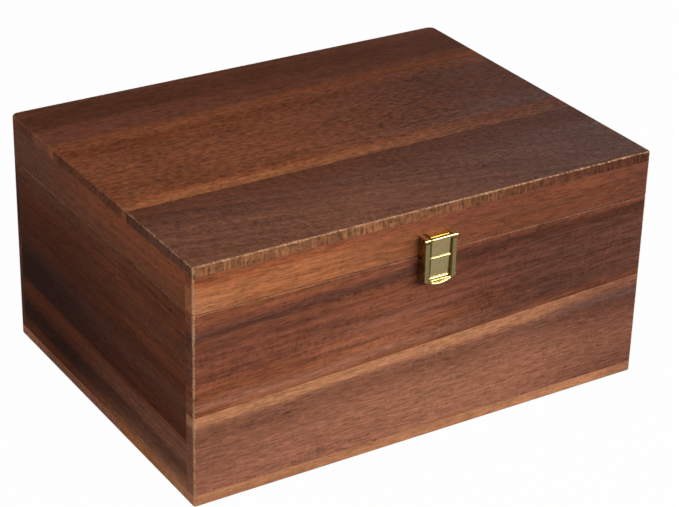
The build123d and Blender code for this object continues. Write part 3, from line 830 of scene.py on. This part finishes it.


# Top panel of the lid: three boards glued edge to edge over the frame. The middle one has
# an orange sapwood edge at its front joint, and the front one has slanting streaks. Towards the
# right end, the front board and the front of the middle one turn greyer in ash tones, a painted
# sheen.
TOP_FRONT_JOINT = joint_line("lid_top_front_board", "lid_top_middle_board", 1)
TOP_REAR_JOINT = joint_line("lid_top_middle_board", "lid_top_rear_board", 1)
stain_board(
    "lid_top_rear_board",
    lay="panel",
    edge=TOP_REAR_JOINT,
    inward=1,
    near=[
        (0, "ginger"), (5, "copper"), (9, "sorrel"), (26, "sorrel"), (34, "umber"),
        (48, "umber"), (62, "chestnut"),
    ],
    far=[
        (0, "auburn"), (6, "auburn"), (10, "chestnut"), (18, "umber"), (40, "umber"),
        (57, "chestnut"),
    ],
    seed=16,
    pores=0.10,
    streak_tone="mahogany",
    streaks=0.25,
    flecks=0.50,
    glue=0.45,
    ends=1.5,
    wear_and_highlight=(0.4, 0.3, 0.0),
)
stain_board(
    "lid_top_middle_board",
    lay="panel",
    edge=TOP_REAR_JOINT,
    inward=-1,
    near=[
        (0, "ginger"), (4, "copper"), (10, "auburn"), (30, "copper"), (80, "copper"),
        (87, "ginger"), (91, "honey"), (97, "honey"),
    ],
    far=[
        # The ash tone near the front joint is a painted sheen.
        (0, "chestnut"), (9, "chestnut"), (16, "walnut"), (55, "walnut"), (78, "ash"),
        (90, "chestnut"), (96, "clay"), (103, "clay"),
    ],
    seed=17,
    pores=0.10,
    change=(0.30, 0.95),
    streak_tone="russet",
    streaks=0.25,
    flecks=0.75,
    clouds=0.28,
    ripples=0.15,
    wear_and_highlight=(0.4, 0.3, 0.0),
    patches=[("cocoa", 0.6, (-108.7, -9.1), (2.6, 1.6))],
)
stain_board(
    "lid_top_front_board",
    lay="panel",
    edge=TOP_FRONT_JOINT,
    inward=-1,
    near=[
        (0, "chestnut"), (6, "chestnut"), (25, "clay"), (45, "cinnamon"),
        (76.6, "cinnamon"), (78.4, "cinnamon"),
    ],
    # The ash tones towards the right end are a painted sheen.
    far=[(0, "walnut"), (12, "walnut"), (30, "ash"), (60, "ash"), (76.6, "ash"), (78.4, "walnut")],
    seed=18,
    pores=0.10,
    change=(0.30, 1.0),
    slant=-0.2,
    streak_width=5.0,
    streak_tone="walnut",
    streaks=0.45,
    flecks=0.50,
    ripples=0.50,
    front_edge=(0.9, "hazel", "cocoa"),
    glue=0.5,
    ends=0.85,
    wear_and_highlight=(0.9, 0.85, 0.0),
)


# Two butt hinges at the back: brass leaves let into the rims, a pin through their three
# knuckles, and heels that stop the open lid. Each leaf is held by two slotted screws.
BRASS = (0.93, 0.74, 0.36)
BRASS_DULL = (0.83, 0.63, 0.28)
# Colour of the painted shade and dark reflection on the brass.
BRASS_SHADED = (0.20, 0.13, 0.045)
BRASS_ROUGHNESS = 0.13
DULL_ROUGHNESS = 0.06
LINE_ROUGHNESS = 0.05
SHADED_BRASS_ROUGHNESS = 0.12
SIDE_FACING = (0.25, 0.8)
SIDE_SHADE_SWING = 0.5
POLISHING_CELLS = (6.0, 0.3, 0.12)
DULL_CELLS = (3.0, 3.0, 3.0)
POLISHING_RELIEF = 0.000004
BRASS_SEED_STEP = 37.0


def make_brass_handling():
    """Fine polishing lines and soft dull places on lacquered brass."""
    group, given, result = new_group("brass_handling", {"Seed": 0}, ("Lines", "Dullness"))
    x, y, z = place_in_mm(group)
    shifted = reckon(group, "MULTIPLY_ADD", given["Seed"], BRASS_SEED_STEP, y)
    lines = wood_noise(group, x, shifted, z, POLISHING_CELLS)
    dull = wood_noise(group, x, shifted, z, DULL_CELLS, detail=3.0, roughness=0.6)
    feed(group, result["Lines"], rescale(group, lines, (0.35, 0.65)))
    feed(group, result["Dullness"], rescale(group, dull, (0.48, 0.68)))
    return group


BRASS_HANDLING = make_brass_handling()


def make_brass(name, seed, side_shade, extra_shade=None):
    """Polished and lacquered brass, with painted shade and dark reflection on the faces turned to
    the left or right. A further function tells where else shade and dark reflection are painted,
    from the place in mm along X and Z."""
    material = bpy.data.materials.new(name)
    material.use_nodes = True
    tree = material.node_tree
    handling = use_group(tree, BRASS_HANDLING, seed=seed)
    finish = tree.nodes["Principled BSDF"]
    finish.inputs["Metallic"].default_value = 1.0
    # Faces turned to the left or right get painted shade and dark reflection.
    sideways = reckon(tree, "ABSOLUTE", outward_direction(tree)["X"])
    painted_shade = rescale(tree, sideways, SIDE_FACING, (0.0, side_shade))
    painted_shade = reckon(tree, "MULTIPLY", painted_shade, swing(tree, handling["Dullness"], SIDE_SHADE_SWING))
    if extra_shade:
        place = place_in_mm(tree)
        painted_shade = reckon(tree, "MAXIMUM", painted_shade, extra_shade(tree, place["X"], place["Z"]))
    colour = mix_tone(tree, BRASS, BRASS_DULL, handling["Dullness"])
    tree.links.new(mix_tone(tree, colour, BRASS_SHADED, painted_shade), finish.inputs["Base Color"])
    rough = reckon(tree, "MULTIPLY_ADD", handling["Dullness"], DULL_ROUGHNESS, BRASS_ROUGHNESS)
    rough = reckon(tree, "MULTIPLY_ADD", handling["Lines"], LINE_ROUGHNESS, rough)
    rough = reckon(tree, "MULTIPLY_ADD", painted_shade, SHADED_BRASS_ROUGHNESS, rough)
    tree.links.new(rough, finish.inputs["Roughness"])
    relief = tree.nodes.new("ShaderNodeBump")
    relief.inputs["Distance"].default_value = POLISHING_RELIEF
    tree.links.new(handling["Lines"], relief.inputs["Height"])
    tree.links.new(relief.outputs["Normal"], finish.inputs["Normal"])
    return material


# The hinges' brass gets light painted shade and dark reflection on its side faces.
hinge_brass = make_brass("hinge_brass", seed=1, side_shade=0.2)
for side in ("left", "right"):
    for piece in ("base_leaf", "lid_leaf", "pin", "base_screws", "lid_screws"):
        nodes[f"{side}_hinge_{piece}"].material_slots[0].material = hinge_brass


# The latch in the middle of the front: two folded plates nailed to the lid and the base, and
# a pressed flap that swings on a pin in the lid plate.
FLAP_LOW, FLAP_HIGH = (corner * MM_PER_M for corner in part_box("latch_flap"))
FLAP_RAIL_WIDTH = 3.4
FLAP_PANEL_EDGE = FLAP_HIGH.x - FLAP_RAIL_WIDTH
FLAP_BARREL_BOTTOM = FLAP_HIGH.z - 2.7
FLAP_RIM_TOP = FLAP_LOW.z + 1.3
FLAP_RIM_BOW = 0.029
FLAP_LIP_TOP = FLAP_LOW.z + 3.2
LEFT_DARK_LINE = (-FLAP_PANEL_EDGE - 0.4, -FLAP_PANEL_EDGE + 1.7)
RIGHT_DARK_LINE = (FLAP_PANEL_EDGE - 0.1, FLAP_PANEL_EDGE + 0.4)
LINE_DARKNESS = 0.9
RAIL_DARKNESS = 0.42
LIP_DARKNESS = 0.65
SOFT_BORDER = 0.3
CRISP_BORDER = 0.2


def between(tree, value, low, high, border=SOFT_BORDER):
    """1 between two values, with a soft border outside them."""
    above = rescale(tree, value, (low - border, low), smooth=True)
    below = rescale(tree, value, (high + border, high), smooth=True)
    return reckon(tree, "MULTIPLY", above, below)


def flap_painted_shade(tree, x, z):
    """Painted shade and dark reflection on the brass in the corners beside the flap's rails,
    thinner on the rails under the barrel and on the lip above the bowed rim."""
    left_line = between(tree, x, *LEFT_DARK_LINE)
    lines = reckon(tree, "MAXIMUM", left_line, between(tree, x, *RIGHT_DARK_LINE))
    out = reckon(tree, "ABSOLUTE", x)
    under_barrel = rescale(tree, z, (FLAP_BARREL_BOTTOM + CRISP_BORDER, FLAP_BARREL_BOTTOM))
    rails = between(tree, out, FLAP_PANEL_EDGE, FLAP_HIGH.x)
    rails = reckon(tree, "MULTIPLY", rails, under_barrel)
    bow = reckon(tree, "MULTIPLY", reckon(tree, "MULTIPLY", x, x), FLAP_RIM_BOW)
    over_rim = reckon(tree, "SUBTRACT", reckon(tree, "SUBTRACT", z, FLAP_RIM_TOP), bow)
    lip = rescale(tree, over_rim, (0.1, 0.2), smooth=True)
    panel = rescale(tree, out, (FLAP_PANEL_EDGE, FLAP_PANEL_EDGE - CRISP_BORDER))
    lip = reckon(tree, "MULTIPLY", lip, panel)
    lip = reckon(tree, "MULTIPLY", lip, between(tree, z, FLAP_LOW.z, FLAP_LIP_TOP, CRISP_BORDER))
    darkest = 0.0
    for share, darkness in ((lines, LINE_DARKNESS), (rails, RAIL_DARKNESS), (lip, LIP_DARKNESS)):
        darkest = reckon(tree, "MAXIMUM", darkest, reckon(tree, "MULTIPLY", share, darkness))
    return darkest


# The latch's brass gets strong painted shade and dark reflection on its side faces and in the
# flap's corners.
latch_brass = make_brass("latch_brass", seed=2, side_shade=0.85, extra_shade=flap_painted_shade)
for piece in ("lid_plate", "lid_nails", "catch_plate", "catch_nails", "pin", "flap"):
    nodes[f"latch_{piece}"].material_slots[0].material = latch_brass
